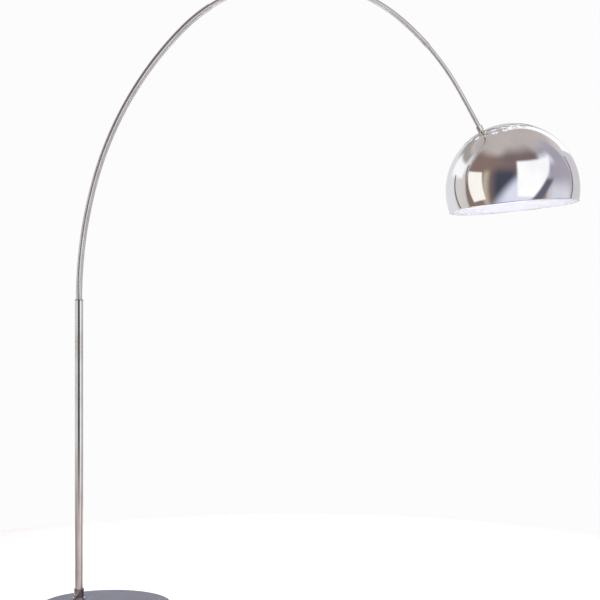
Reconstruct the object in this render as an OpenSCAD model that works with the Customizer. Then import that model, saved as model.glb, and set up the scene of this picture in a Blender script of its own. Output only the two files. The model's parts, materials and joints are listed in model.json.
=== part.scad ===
// Arc floor lamp: a heavy round stone foot, a two-part pole, a plugged three-part arc and a spun dome
// shade that turns on the end of the arc. Millimetres, +Z up. The origin is the middle of the foot's
// underside. The arc leans out along +X, and the supply lead enters at the back, towards +Y.

/* [Foot] */
// Diameter of the stone disc
base_d = 400; // [340:1:480]
// Thickness of the stone disc
base_t = 40; // [32:1:60]
// Rounding of the disc's top edge
base_edge_r = 3; // [1:0.5:6]
// Thickness of the felt under the disc
felt_t = 2; // [2:0.5:4]
// How far the felt stays inside the disc's edge
felt_inset = 6; // [2:1:20]
// Distance from the disc's centre back to the pole
pole_offset = 79; // [40:1:120]

/* [Foot fittings] */
// Diameter of the flange that stands on the stone
flange_d = 38; // [34:1:60]
// Height of that flange
flange_h = 20; // [10:1:30]
// Wall of the collar around the pole's end
collar_wall = 2.2; // [2:0.1:4]
// Height of that collar
collar_h = 27; // [18:1:50]
// Height of the bright lip on top of the collar
collar_lip_h = 4.5; // [2:0.5:8]
// How far that lip stands out of the collar
collar_lip_proud = 0.8; // [0.4:0.1:2]
// Diameter of the bolt that clamps foot and pole together
bolt_d = 12; // [8:1:14]

/* [Pole] */
// Outer diameter of the pole
pole_d = 25; // [21:0.5:32]
// Wall of the pole
pole_wall = 1.5; // [1.2:0.1:2]
// Length of the lower pole
lower_pole_l = 762; // [500:1:1000]
// Length of the upper pole, which holds the arc
upper_pole_l = 144; // [140:1:220]
// Length of the sleeve inside the seam of the two poles
spigot_l = 130; // [80:1:130]
// Wall of that sleeve
spigot_wall = 1.5; // [1.2:0.1:2]
// Height of the lead's inlet above the foot of the pole
inlet_h = 70; // [60:1:120]

/* [Snap button] */
// Diameter of the snap button
button_d = 6; // [4:0.5:8]
// Height of the button above the seam
button_h = 18; // [14:1:30]
// How far the button stands out of the pole
button_proud = 2; // [1:0.1:3]
// Direction in which the button points, anticlockwise from +X
button_turn = 225; // [180:1:270]

/* [Arc] */
// Wall of the bushes that guide the first arc tube inside the pole
bush_wall = 1.4; // [1:0.1:2]
// Wall of the arc tubes
arc_wall = 1.2; // [1:0.1:1.4]
// Radius of the first bend above the pole
bend1_r = 1364; // [1200:1:1600]
// Turn of the first bend
bend1_turn = 15.2; // [10:0.1:20]
// Radius of the second bend
bend2_r = 1059; // [900:1:1200]
// Turn of the second bend
bend2_turn = 29.6; // [25:0.1:35]
// Radius of the bend over the top
bend3_r = 488; // [420:1:560]
// Turn of the bend over the top
bend3_turn = 85.5; // [80:0.1:88]
// Radius of the bend that comes down to the shade
bend4_r = 796; // [650:1:900]
// Turn of that bend
bend4_turn = 21; // [18:0.1:24]
// Radius of the nearly straight end
bend5_r = 9000; // [6000:100:15000]
// Turn of that end
bend5_turn = 0.8; // [0.5:0.1:1.2]
// Turn at which the first tube ends
joint1_turn = 57.3; // [50:0.1:64]
// Turn of the visible stretch of the last tube
end_tube_turn = 13.3; // [8:0.1:18]
// Length that each arc tube plugs into the one before
plug_l = 40; // [30:1:60]

/* [Shade] */
// Outer diameter of the dome
shade_d = 404; // [337:1:440]
// Thickness of the dome's sheet
shade_t = 1.2; // [1:0.1:2]
// Depth of the dome's mouth below the ball's centre
mouth_drop = 52; // [30:1:80]
// Radius of the rolled rim
rim_r = 2; // [1.5:0.1:3]
// Angle between the dome's axis and the arc's end
fitting_angle = 23; // [20:0.5:26]
// How far the middle of the vents leans from the dome's axis towards the arc's end
vents_lean = 8.7; // [6:0.1:9]
// Diameter of the vent holes
vent_d = 20; // [14:0.5:24]
// Least sheet left between the inner and the outer ring of vents
vent_web = 3.62; // [2:0.02:6]
// Vents in the inner ring
inner_vents = 18; // [12:1:18]
// Angle between the middle of the vents and their inner ring
inner_vents_angle = 25.3; // [24:0.1:28]
// Vents in the outer ring
outer_vents = 22; // [12:1:22]

/* [Lamp holder and bulb] */
// Outer diameter of the threaded nipple
nipple_d = 10; // [9:0.5:12]
// Wall of the ferrule around the arc's end
ferrule_wall = 3.5; // [2.5:0.5:6]
// Length of that ferrule
ferrule_l = 16; // [14:0.5:24]
// Diameter of the lamp holder
holder_d = 40; // [38:0.5:48]
// Diameter of the bulb
bulb_d = 60; // [50:1:65]
// Length of the bulb with its cap
bulb_l = 105; // [98:1:115]
// Diameter of the lead
lead_d = 5.5; // [4:0.1:6]

/* [Fits] */
// Play between pieces that are pushed together
slip = 0.05; // [0.03:0.01:0.1]
// Play all round between one arc tube and the next
plug_play = 0.3; // [0.1:0.05:0.5]
// Air between pieces that move past each other
air = 0.3; // [0.3:0.05:0.5]

/* [Hidden] */
$fn = 96;
FINE = 480;                  // facets of a ball that only shapes a thin washer
past = 1;                    // how far a cutter runs past the face that it cuts

// ---- heights along the pole ----
stone_top = felt_t + base_t;
pole_foot = stone_top + flange_h;
seam_z = pole_foot + lower_pole_l;
pole_top = seam_z + upper_pole_l;
pole_bore = pole_d - 2 * pole_wall;
inlet_z = pole_foot + inlet_h;

// ---- foot ----
bolt_play = 0.5;
bolt_hole_d = bolt_d + 2 * bolt_play;
head_af_per_d = 1.6;         // usual shares of a bolt's diameter
head_h_per_d = 0.65;
washer_per_d = 3;
spring_washer_per_d = 1.75;
bolt_head_af = head_af_per_d * bolt_d;
bolt_head_h = head_h_per_d * bolt_d;
washer_d = washer_per_d * bolt_d;
washer_t = 3;
spring_washer_d = spring_washer_per_d * bolt_d;
spring_washer_t = 2.5;
spring_washer_gap = 12;      // degrees left out of the split washer
recess_play = 4;             // all round the washer
recess_d = washer_d + 2 * recess_play;
head_clear = 0.6;            // from the bolt's head down to the felt
recess_h = head_clear + bolt_head_h + spring_washer_t + washer_t;
plug_h = 32;
bolt_short = 2;              // how far the bolt ends below the plug's top
bolt_tip_z = pole_foot + plug_h - bolt_short;
collar_bore = pole_d + 2 * slip;
collar_d = collar_bore + 2 * collar_wall;
big_screw_d = 5;             // headless screws in the collar and at the swivel
small_screw_d = 3;           // headless screws in the arc and the ferrule

// ---- lead's inlet ----
inlet_hole_d = 12;
inlet_bore = 7;
inlet_nose_d = 17;
inlet_nose_l = 4.5;
inlet_lip_t = 1.5;

// ---- pole seam and snap button ----
spigot_d = pole_bore - 2 * slip;
spigot_bore = spigot_d - 2 * spigot_wall;
spigot_low_z = seam_z - spigot_l / 2;
spigot_top_z = seam_z + spigot_l / 2;
button_z = seam_z + button_h;
button_play = 0.1;           // around the button, in radius
button_hole_d = button_d + 2 * button_play;
button_end_r = 6;            // ball on the button's end
button_tip = pole_d / 2 + button_proud;
leaf_t = 0.6;
leaf_h = button_d + 2;
leaf_gap = 0.5;              // from the spring to the sleeve
leaf_r = spigot_bore / 2 - leaf_gap;
leaf_half_turn = 24;
ring_half_gap = 40;
rivet_d = 4;
rivet_head_t = 0.8;
rivet_head_per_d = 1.7;
rivet_tail_per_d = 1.5;
rivet_z = seam_z - spigot_l / 3;

// ---- swivel at the top of the pole ----
arc_d1 = pole_bore - 2 * (bush_wall + 2 * slip);
arc_bore1 = arc_d1 - 2 * arc_wall;
arc_d2 = arc_bore1 - 2 * plug_play;
arc_bore2 = arc_d2 - 2 * arc_wall;
arc_d3 = arc_bore2 - 2 * plug_play;
arc_bore3 = arc_d3 - 2 * arc_wall;
stop_t = 4;
stop_lug_h = 7;
stop_lug_turn = 14;
stop_pin_d = 3;
stop_ring_step = 1.5;        // how far the ring stands in under the shank
stop_ring_bore = arc_bore1 - 2 * stop_ring_step;
stop_pin_up = 1;             // from the pin up to the lug's top
shank_low_z = spigot_top_z + stop_t + air;
stop_pin_z = shank_low_z + stop_lug_h - stop_pin_d / 2 - stop_pin_up;
stop_pin_tip = pole_bore / 2 - air;
low_bush_gap = 1;
low_bush_z = spigot_top_z + stop_t + stop_lug_h + low_bush_gap;
low_bush_h = 18;
top_bush_h = 22;
top_flange_t = 2;
top_flange_proud = 0.5;
top_flange_d = pole_d + 2 * top_flange_proud;
swivel_screw_drop = 8;       // below the top bush
swivel_screw_z = pole_top - top_bush_h - swivel_screw_drop;
shank_proud = 2;             // straight stretch above the top bush
arc_start_z = pole_top + top_flange_t + shank_proud;

// ---- the arc: five bends in one plane, each starting where the last one ends ----
bend_r = [bend1_r, bend2_r, bend3_r, bend4_r, bend5_r];
bend_turn = [bend1_turn, bend2_turn, bend3_turn, bend4_turn, bend5_turn];
BENDS = len(bend_r);
function turn_before(i) = i == 0 ? 0 : turn_before(i - 1) + bend_turn[i - 1];
function bend_start(i) = i == 0 ? [-pole_offset, arc_start_z] : on_bend(i - 1, turn_before(i));
function bend_centre(i) = bend_start(i) + bend_r[i] * [cos(turn_before(i)), -sin(turn_before(i))];
function on_bend(i, turn) = bend_centre(i) + bend_r[i] * [-cos(turn), sin(turn)];
function bend_at(turn) = max([for (i = [0:BENDS - 1]) if (turn_before(i) <= turn) i]);
arc_turn = turn_before(BENDS);
arc_end = on_bend(BENDS - 1, arc_turn);
end_dir = [sin(arc_turn), cos(arc_turn)];
screw_back = 12;             // from a tube's mouth to its joint screw
function turn_of(way, r) = way / r * 180 / PI;
function before(turn, way) = turn - turn_of(way, bend_r[bend_at(turn)]);
joint2_turn = arc_turn - end_tube_turn;
tube2_from = before(joint1_turn, plug_l);
tube3_from = before(joint2_turn, plug_l);
screw1_turn = before(joint1_turn, screw_back);
screw2_turn = before(joint2_turn, screw_back);

// ---- fittings on the arc's end, measured along it: 0 at the dome's skin, plus goes inside ----
washer_proud = 3;
ferrule_d = arc_d3 + 2 * ferrule_wall;
ferrule_low = -washer_proud - ferrule_l;
ferrule_edge = 1;            // bevel on the ferrule's outer end
ferrule_floor = 6;           // solid length between the tube's socket and the washer
tube3_in_ferrule = ferrule_l - ferrule_floor;
tube3_end = ferrule_low + tube3_in_ferrule;
nipple_gap = 0.5;            // from the tube's end to the nipple
nipple_from = tube3_end + nipple_gap;
nipple_wall = 1.3;
nipple_bore = nipple_d - 2 * nipple_wall;
inner_washer_from = shade_t + air;
inner_washer_t = 3;
inner_washer_proud = 2;      // beyond the ferrule, all round
nut_from = inner_washer_from + inner_washer_t + slip;
nut_h = 4;
nut_rim = 2;                 // from the nipple out to the nut's flats
nut_af = nipple_d + 2 * nut_rim;
holder_from = nut_from + nut_h + slip;
holder_boss_h = 8;
boss_per_d = 0.45;
holder_cone_h = 8;           // cone from the boss out to the cap's wall
holder_cone_low = 4;
holder_cone_lip = 2;
holder_cone_in_h = 5;
holder_cap_h = 26;
holder_wall = 1.8;
insert_h = 9;
insert_from = holder_from + holder_cap_h - insert_h;
skirt_from = insert_from + insert_h;
skirt_h = 30;
nipple_to = holder_from + holder_boss_h;
core_d = 2;
core_apart = 2.6;
core_play = 0.1;
shell_d = 29;
shell_t = 0.5;
shell_h = 22;
contact_h = 2.4;
tip_h = 1.6;
tip_d = 9;
bulb_from = skirt_from + contact_h + slip;
thread_play = 0.25;          // between the bulb's cap and the screw shell
cap_d = shell_d - 2 * shell_t - 2 * thread_play;
cap_h = 24;
cap_wall = 0.7;
glass_t = 0.8;
glass_neck_d = cap_d - 2 * cap_wall;
glass_in_cap = 6;
cap_end_t = 1;
glass_low = bulb_from + tip_h + cap_h - glass_in_cap;
bulb_centre = bulb_from + bulb_l - bulb_d / 2;
neck_above_cap = 2;
neck_join = bulb_from + tip_h + cap_h + neck_above_cap;

// ---- the shade: a ball around shade_x, shade_z whose skin touches the arc's end ----
shade_r = shade_d / 2;
shade_x = arc_end[0] + (shade_r - tube3_end) * end_dir[0];
shade_z = arc_end[1] + (shade_r - tube3_end) * end_dir[1];
shade_tilt = 180 - arc_turn - fitting_angle;
mouth_r = sqrt(pow(shade_r - shade_t / 2, 2) - pow(mouth_drop, 2));
nipple_play = 0.1;
nipple_hole_d = nipple_d + 2 * nipple_play;
outer_vents_angle = inner_vents_angle + turn_of(vent_d + vent_web, shade_r);

felt_colour = "#3a3a3f";
stone_colour = "#6e6d7c";
steel_colour = "#b9b4b1";
bright_colour = "#d8d6d4";
brass_colour = "#b99a52";
rubber_colour = "#2c2c2e";
plastic_colour = "#e9e7e1";
zinc_colour = "#9aa0a5";
ceramic_colour = "#f1efe8";
opal_colour = "#fbfaf4";

// =========================== shared shapes ===========================

// Moves to the pole's axis at height z.
module on_pole(z = 0) {
    translate([-pole_offset, 0, z]) children();
}

// A round tube, or a rod when the bore is 0.
module tube(d, bore, h) {
    difference() {
        cylinder(d = d, h = h);
        if (bore > 0) {
            translate([0, 0, -past]) cylinder(d = bore, h = h + 2 * past);
        }
    }
}

// A tube with its axis along +X.
module tube_x(d, bore, l) {
    rotate([0, 90, 0]) tube(d, bore, l);
}

// The stretch of the arc between two turns, as a tube or, when the bore is 0, a rod.
module arc_run(from, to, d, bore) {
    for (i = [0:BENDS - 1]) {
        low = max(from, turn_before(i));
        high = min(to, turn_before(i + 1));
        if (high > low) {
            centre = bend_centre(i);
            move_finely([centre[0], 0, centre[1]])
                rotate([90, 0, 0])
                    rotate_extrude(start = 180 - high, angle = high - low)
                        translate([bend_r[i], 0]) ring_face(d, bore);
        }
    }
}

// Moves by whole millimetres, then thousandths, then the rest, so that a long way keeps all its digits.
module move_finely(way) {
    whole = [for (w = way) floor(w)];
    thousandths = [for (w = way - whole) floor(w * 1000) / 1000];
    translate(whole) translate(thousandths) translate(way - whole - thousandths) children();
}

module ring_face(d, bore) {
    difference() {
        circle(d = d);
        if (bore > 0) {
            circle(d = bore);
        }
    }
}

// Puts +Z along the arc's last straight, pointing into the dome, with 0 on the dome's skin.
module on_arc_end(along = 0) {
    way = along - tube3_end;
    translate([arc_end[0] + way * end_dir[0], 0, arc_end[1] + way * end_dir[1]])
        rotate([0, arc_turn, 0]) children();
}

// Puts +Z along the radius of the arc at a turn, outwards, on the arc's centre line.
module on_arc(turn) {
    at = on_bend(bend_at(turn), turn);
    translate([at[0], 0, at[1]]) rotate([0, turn - 90, 0]) children();
}

// A band that follows a circle around Z, of one thickness and height, centred on height 0.
module band(inner_r, t, h, half_turn) {
    rotate([0, 0, -half_turn])
        rotate_extrude(angle = 2 * half_turn)
            translate([inner_r, -h / 2]) square([t, h]);
}

// A headless screw along +X with a hex socket in its outer end.
module grub_screw(d, from_r, to_r) {
    socket_af = d / 2;
    difference() {
        translate([from_r, 0, 0]) tube_x(d, 0, to_r - from_r);
        translate([to_r - (to_r - from_r) / 2, 0, 0])
            rotate([0, 90, 0]) cylinder(d = socket_af / cos(30), h = to_r, $fn = 6);
    }
}

// =========================== foot ===========================

module base_felt() {
    color(felt_colour) cylinder(d = base_d - 2 * felt_inset, h = felt_t);
}

module base_disc() {
    color(stone_colour) difference() {
        translate([0, 0, felt_t]) rotate_extrude() {
            square([base_d / 2 - base_edge_r, base_t]);
            square([base_d / 2, base_t - base_edge_r]);
            translate([base_d / 2 - base_edge_r, base_t - base_edge_r]) circle(r = base_edge_r);
        }
        on_pole(felt_t - past) cylinder(d = recess_d, h = recess_h + past);
        on_pole(felt_t) cylinder(d = bolt_hole_d, h = base_t + past);
    }
}

module base_bolt() {
    head_z = felt_t + head_clear;
    color(zinc_colour) on_pole(head_z) {
        cylinder(d = bolt_head_af / cos(30), h = bolt_head_h, $fn = 6);
        cylinder(d = bolt_d, h = bolt_tip_z - head_z);
    }
}

module base_washer() {
    color(zinc_colour) on_pole(felt_t + recess_h - washer_t) tube(washer_d, bolt_hole_d, washer_t);
}

module spring_washer() {
    color(zinc_colour) on_pole(felt_t + head_clear + bolt_head_h)
        rotate_extrude(angle = 360 - spring_washer_gap)
            translate([bolt_hole_d / 2, 0]) square([(spring_washer_d - bolt_hole_d) / 2, spring_washer_t]);
}

module foot_flange() {
    color(steel_colour) on_pole(stone_top) tube(flange_d, bolt_hole_d, flange_h);
}

module foot_collar() {
    color(bright_colour) on_pole(pole_foot) difference() {
        union() {
            cylinder(d = collar_d, h = collar_h - collar_lip_h);
            translate([0, 0, collar_h - collar_lip_h])
                cylinder(d = collar_d + 2 * collar_lip_proud, h = collar_lip_h);
        }
        translate([0, 0, -past]) cylinder(d = collar_bore, h = collar_h + 2 * past);
        translate([0, 0, collar_h / 3]) rotate([0, 0, 90]) tube_x(big_screw_d + 2 * slip, 0, collar_d);
    }
}

module collar_grub_screw() {
    color(zinc_colour) on_pole(pole_foot + collar_h / 3)
        rotate([0, 0, 90]) grub_screw(big_screw_d, pole_d / 2 + slip, collar_d / 2);
}

module pole_plug() {
    color(zinc_colour) on_pole(pole_foot) tube(pole_bore - 2 * slip, bolt_d + 2 * slip, plug_h);
}

// =========================== pole ===========================

module lower_pole() {
    color(steel_colour) difference() {
        on_pole(pole_foot) tube(pole_d, pole_bore, lower_pole_l);
        on_pole(inlet_z) rotate([0, 0, 90]) tube_x(inlet_hole_d, 0, pole_d);
        on_pole(rivet_z) rotate([0, 0, 90]) tube_x(rivet_d + 2 * slip, 0, pole_d);
    }
}

// Rubber bush around the supply lead: a nose outside the pole, a neck in its wall and a lip inside.
module lead_inlet_bush() {
    nose_to = pole_d / 2 + inlet_nose_l;
    lip_from = pole_bore / 2 - inlet_lip_t;
    color(rubber_colour) on_pole(inlet_z) difference() {
        union() {
            difference() {
                rotate([0, 0, 90]) tube_x(inlet_nose_d, 0, nose_to);
                translate([0, 0, -inlet_nose_d]) cylinder(d = pole_d + 2 * slip, h = 2 * inlet_nose_d);
            }
            rotate([0, 0, 90]) translate([lip_from, 0, 0])
                tube_x(inlet_hole_d - 2 * slip, 0, nose_to - lip_from);
        }
        rotate([0, 0, 90]) tube_x(inlet_bore, 0, pole_d);
    }
}

module seam_spigot() {
    color(zinc_colour) difference() {
        on_pole(spigot_low_z) tube(spigot_d, spigot_bore, spigot_l);
        on_pole(button_z) rotate([0, 0, button_turn]) tube_x(button_hole_d, 0, pole_d);
        on_pole(rivet_z) rotate([0, 0, 90]) tube_x(rivet_d + 2 * slip, 0, pole_d);
    }
}

module spigot_rivet() {
    tail_from = spigot_bore / 2 - 2 * rivet_head_t;
    color(bright_colour) on_pole(rivet_z) rotate([0, 0, 90]) {
        translate([tail_from + rivet_head_t, 0, 0])
            tube_x(rivet_d, 0, pole_d / 2 - tail_from);
        translate([pole_d / 2, 0, 0]) tube_x(rivet_head_per_d * rivet_d, 0, rivet_head_t);
        translate([tail_from, 0, 0]) tube_x(rivet_tail_per_d * rivet_d, 0, rivet_head_t);
    }
}

module upper_pole() {
    color(steel_colour) difference() {
        on_pole(seam_z + slip) tube(pole_d, pole_bore, upper_pole_l - slip);
        on_pole(button_z) rotate([0, 0, button_turn]) tube_x(button_hole_d, 0, pole_d);
        on_pole(swivel_screw_z) rotate([0, 0, 90]) tube_x(big_screw_d + 2 * slip, 0, pole_d);
    }
}

module button_spring_ring() {
    color(steel_colour) on_pole(button_z)
        rotate([0, 0, button_turn + 180]) band(leaf_r - leaf_t, leaf_t, leaf_h, 180 - ring_half_gap);
}

module snap_button() {
    color(bright_colour) on_pole(button_z) rotate([0, 0, button_turn]) intersection() {
        translate([leaf_r + slip, 0, 0]) tube_x(button_d, 0, button_tip - leaf_r - slip);
        translate([button_tip - button_end_r, 0, 0]) sphere(r = button_end_r);
    }
}

module button_leaf() {
    color(steel_colour) on_pole(button_z)
        rotate([0, 0, button_turn]) band(leaf_r - leaf_t, leaf_t, leaf_h, leaf_half_turn);
}

// A ring on the sleeve with one lug, on the side away from the shade, that stops the arc's pin.
module swivel_stop_ring() {
    color(brass_colour) on_pole(spigot_top_z) difference() {
        tube(pole_bore - 2 * slip, stop_ring_bore, stop_t + stop_lug_h);
        translate([0, 0, stop_t]) cylinder(r = arc_d1 / 2 + air, h = stop_lug_h + past);
        rotate([0, 0, stop_lug_turn / 2 - 180])
            rotate_extrude(angle = 360 - stop_lug_turn)
                translate([0, stop_t]) square([pole_bore / 2, stop_lug_h + past]);
    }
}

module lower_guide_bush() {
    color(plastic_colour) on_pole(low_bush_z) tube(pole_bore - 2 * slip, arc_d1 + 2 * slip, low_bush_h);
}

module top_guide_bush() {
    color(rubber_colour) on_pole(pole_top) difference() {
        union() {
            translate([0, 0, -top_bush_h]) cylinder(d = pole_bore - 2 * slip, h = top_bush_h);
            cylinder(d = top_flange_d, h = top_flange_t);
        }
        translate([0, 0, -top_bush_h - past])
            cylinder(d = arc_d1 + 2 * slip, h = top_bush_h + top_flange_t + 2 * past);
    }
}

module swivel_grub_screw() {
    color(zinc_colour) on_pole(swivel_screw_z)
        rotate([0, 0, 90]) grub_screw(big_screw_d, arc_d1 / 2 + slip, pole_d / 2);
}

// The lead inside the pole: in through the bush, round a short bend and up the pole's axis.
module pole_lead() {
    lead_bend_r = pole_bore / 2 - inlet_lip_t - slip;
    lead_top_z = spigot_top_z + stop_t - air;
    color(rubber_colour) on_pole(inlet_z + lead_bend_r) {
        rotate([90, 0, 90]) translate([lead_bend_r, 0, 0])
            rotate([0, 0, 180]) rotate_extrude(angle = 90)
                translate([lead_bend_r, 0]) circle(d = lead_d);
        cylinder(d = lead_d, h = lead_top_z - inlet_z - lead_bend_r);
    }
}

// =========================== arc ===========================

module arc_lower_tube() {
    color(steel_colour) difference() {
        union() {
            on_pole(shank_low_z) tube(arc_d1, arc_bore1, arc_start_z - shank_low_z);
            arc_run(0, joint1_turn, arc_d1, arc_bore1);
        }
        on_pole(stop_pin_z) tube_x(stop_pin_d + 2 * slip, 0, arc_d1);
        on_arc(screw1_turn)
            rotate([0, 90, 0]) tube_x(small_screw_d + 2 * slip, 0, arc_d1);
    }
}

module swivel_stop_pin() {
    pin_from = arc_bore1 / 2;
    color(zinc_colour) on_pole(stop_pin_z)
        translate([pin_from, 0, 0]) tube_x(stop_pin_d, 0, stop_pin_tip - pin_from);
}

module arc_middle_tube() {
    color(steel_colour) difference() {
        arc_run(tube2_from, joint2_turn, arc_d2, arc_bore2);
        on_arc(screw2_turn)
            rotate([0, 90, 0]) tube_x(small_screw_d + 2 * slip, 0, arc_d2);
    }
}

module arc_end_tube() {
    color(steel_colour) arc_run(tube3_from, arc_turn, arc_d3, arc_bore3);
}

// The two headless screws on the underside of the plugged joints.
module arc_joint_screws() {
    color(zinc_colour) {
        on_arc(screw1_turn)
            rotate([0, 90, 0]) grub_screw(small_screw_d, arc_d2 / 2 + slip, arc_d1 / 2);
        on_arc(screw2_turn)
            rotate([0, 90, 0]) grub_screw(small_screw_d, arc_d3 / 2 + slip, arc_d2 / 2);
    }
}

// =========================== swivel, lamp holder and bulb ===========================

module end_ferrule() {
    color(bright_colour) difference() {
        on_arc_end(ferrule_low) union() {
            cylinder(d1 = ferrule_d - 2 * ferrule_edge, d2 = ferrule_d, h = ferrule_edge);
            translate([0, 0, ferrule_edge]) cylinder(d = ferrule_d, h = ferrule_l - ferrule_edge);
        }
        on_arc_end(ferrule_low - past)
            cylinder(d = arc_d3 + 2 * slip, h = tube3_in_ferrule + slip + past);
        on_arc_end(tube3_end) cylinder(d = nipple_d + 2 * slip, h = ferrule_l);
        on_arc_end(ferrule_low + tube3_in_ferrule / 2)
            rotate([0, 0, 90]) tube_x(small_screw_d + 2 * slip, 0, ferrule_d);
    }
}

module ferrule_grub_screw() {
    color(zinc_colour) on_arc_end(ferrule_low + tube3_in_ferrule / 2)
        rotate([0, 0, 90]) grub_screw(small_screw_d, arc_d3 / 2 + slip, ferrule_d / 2);
}

module outer_swivel_washer() {
    color(plastic_colour) difference() {
        on_arc_end(-washer_proud + slip) tube(ferrule_d, nipple_d + 2 * slip, washer_proud + 1);
        translate([shade_x, 0, shade_z]) sphere(r = shade_r + air, $fn = FINE);
    }
}

module threaded_nipple() {
    color(brass_colour) on_arc_end(nipple_from) tube(nipple_d, nipple_bore, nipple_to - nipple_from);
}

module inner_swivel_washer() {
    inner_washer_d = ferrule_d + 2 * inner_washer_proud;
    color(plastic_colour) intersection() {
        on_arc_end(-past)
            tube(inner_washer_d, nipple_d + 2 * slip, inner_washer_from + inner_washer_t + past);
        translate([shade_x, 0, shade_z]) sphere(r = shade_r - shade_t - air, $fn = FINE);
    }
}

module nipple_nut() {
    color(brass_colour) on_arc_end(nut_from) difference() {
        cylinder(d = nut_af / cos(30), h = nut_h, $fn = 6);
        translate([0, 0, -past]) cylinder(d = nipple_d + 2 * slip, h = nut_h + 2 * past);
    }
}

module holder_cap() {
    boss_d = boss_per_d * holder_d;
    wall_from = holder_cone_low + holder_cone_h;
    bore_from = holder_boss_h + holder_cone_in_h;
    cap_bore = holder_d - 2 * holder_wall;
    color(plastic_colour) on_arc_end(holder_from) difference() {
        union() {
            cylinder(d = boss_d, h = holder_boss_h);
            translate([0, 0, holder_cone_low])
                cylinder(d1 = boss_d + 2 * holder_cone_lip, d2 = holder_d, h = holder_cone_h);
            translate([0, 0, wall_from]) cylinder(d = holder_d, h = holder_cap_h - wall_from);
        }
        translate([0, 0, -past]) cylinder(d = nipple_d + 2 * slip, h = holder_boss_h + 2 * past);
        translate([0, 0, holder_boss_h]) cylinder(d1 = boss_d, d2 = cap_bore, h = holder_cone_in_h);
        translate([0, 0, bore_from]) cylinder(d = cap_bore, h = holder_cap_h);
    }
}

module holder_insert() {
    color(ceramic_colour) on_arc_end(insert_from) difference() {
        cylinder(d = holder_d - 2 * holder_wall - 2 * slip, h = insert_h);
        for (side = [-1, 1]) {
            translate([0, side * core_apart / 2, -past])
                cylinder(d = core_d + 2 * core_play, h = insert_h + 2 * past);
        }
    }
}

module holder_skirt() {
    color(plastic_colour) on_arc_end(skirt_from + slip) tube(holder_d, holder_d - 2 * holder_wall, skirt_h);
}

module screw_shell() {
    color(brass_colour) on_arc_end(skirt_from + slip) tube(shell_d, shell_d - 2 * shell_t, shell_h);
}

module centre_contact() {
    contact_w = shell_d / 5;
    color(brass_colour) on_arc_end(skirt_from + slip)
        translate([-contact_w / 2, -contact_w / 2, 0]) cube([contact_w, contact_w, contact_h - slip]);
}

module bulb_tip_contact() {
    color(zinc_colour) on_arc_end(bulb_from) cylinder(d = tip_d, h = tip_h - slip);
}

module bulb_cap() {
    color(zinc_colour) on_arc_end(bulb_from + tip_h) difference() {
        cylinder(d = cap_d, h = cap_h);
        translate([0, 0, cap_end_t]) cylinder(d = glass_neck_d + 2 * slip, h = cap_h);
    }
}

// The glass is open at its neck: a ball, a cone down to the neck and the neck in the cap.
module bulb_glass() {
    color(opal_colour) on_arc_end() difference() {
        bulb_body(0);
        bulb_body(glass_t);
        translate([0, 0, glass_low - past]) cylinder(d = glass_neck_d - 2 * glass_t, h = 2 * past);
    }
}

module bulb_body(inset) {
    ball_r = bulb_d / 2;
    neck_r = glass_neck_d / 2;
    cone_h = bulb_centre - neck_join;
    lean = acos(ball_r / sqrt(cone_h * cone_h + neck_r * neck_r)) - atan(neck_r / cone_h);
    touch_z = bulb_centre - ball_r * cos(lean);
    touch_r = ball_r * sin(lean);
    translate([0, 0, bulb_centre]) sphere(r = ball_r - inset);
    translate([0, 0, neck_join]) cylinder(r1 = neck_r - inset, r2 = touch_r - inset, h = touch_z - neck_join);
    translate([0, 0, glass_low]) cylinder(r = neck_r - inset, h = neck_join - glass_low);
}

// The lead inside the arc, from the swivel to the ferrule.
module arc_lead() {
    lead_low_z = spigot_top_z + stop_t + air;
    color(rubber_colour) {
        on_pole(lead_low_z) cylinder(d = lead_d, h = arc_start_z - lead_low_z);
        arc_run(0, arc_turn, lead_d, 0);
    }
}

// The lead's two cores, from the end of its sheath through the nipple to the holder's contacts.
module holder_cores() {
    color(brass_colour) for (side = [-1, 1]) {
        on_arc_end(tube3_end) translate([0, side * core_apart / 2, 0])
            cylinder(d = core_d, h = insert_from + insert_h - tube3_end);
    }
}

// =========================== shade ===========================

module shade_dome() {
    color(bright_colour) difference() {
        translate([shade_x, 0, shade_z]) rotate([0, -shade_tilt, 0]) {
            difference() {
                sphere(r = shade_r);
                sphere(r = shade_r - shade_t);
                translate([-shade_d, -shade_d, -mouth_drop - 2 * shade_d])
                    cube([2 * shade_d, 2 * shade_d, 2 * shade_d]);
                vent_ring(inner_vents, inner_vents_angle);
                vent_ring(outer_vents, outer_vents_angle);
            }
            rotate_extrude() translate([mouth_r, -mouth_drop]) circle(r = rim_r);
        }
        on_arc_end(-past) cylinder(d = nipple_hole_d, h = shade_t + 2 * past);
    }
}

// One ring of round holes through the dome, with the arc's end midway between two of them.
module vent_ring(count, angle) {
    rotate([0, -vents_lean, 0]) for (i = [0:count - 1]) {
        rotate([0, 0, (i + 0.5) * 360 / count]) rotate([0, angle, 0])
            translate([0, 0, shade_r / 2]) cylinder(d = vent_d, h = shade_r);
    }
}

// =========================== nodes ===========================

base_felt();
base_disc();
base_bolt();
base_washer();
spring_washer();
foot_flange();
foot_collar();
collar_grub_screw();
pole_plug();
lower_pole();
lead_inlet_bush();
seam_spigot();
spigot_rivet();
upper_pole();
button_spring_ring();
swivel_stop_ring();
lower_guide_bush();
top_guide_bush();
swivel_grub_screw();
pole_lead();
snap_button();
button_leaf();
arc_lower_tube();
swivel_stop_pin();
arc_middle_tube();
arc_end_tube();
arc_joint_screws();
end_ferrule();
ferrule_grub_screw();
outer_swivel_washer();
threaded_nipple();
inner_swivel_washer();
nipple_nut();
holder_cap();
holder_insert();
holder_skirt();
screw_shell();
centre_contact();
bulb_cap();
bulb_tip_contact();
bulb_glass();
arc_lead();
holder_cores();
shade_dome();
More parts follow.
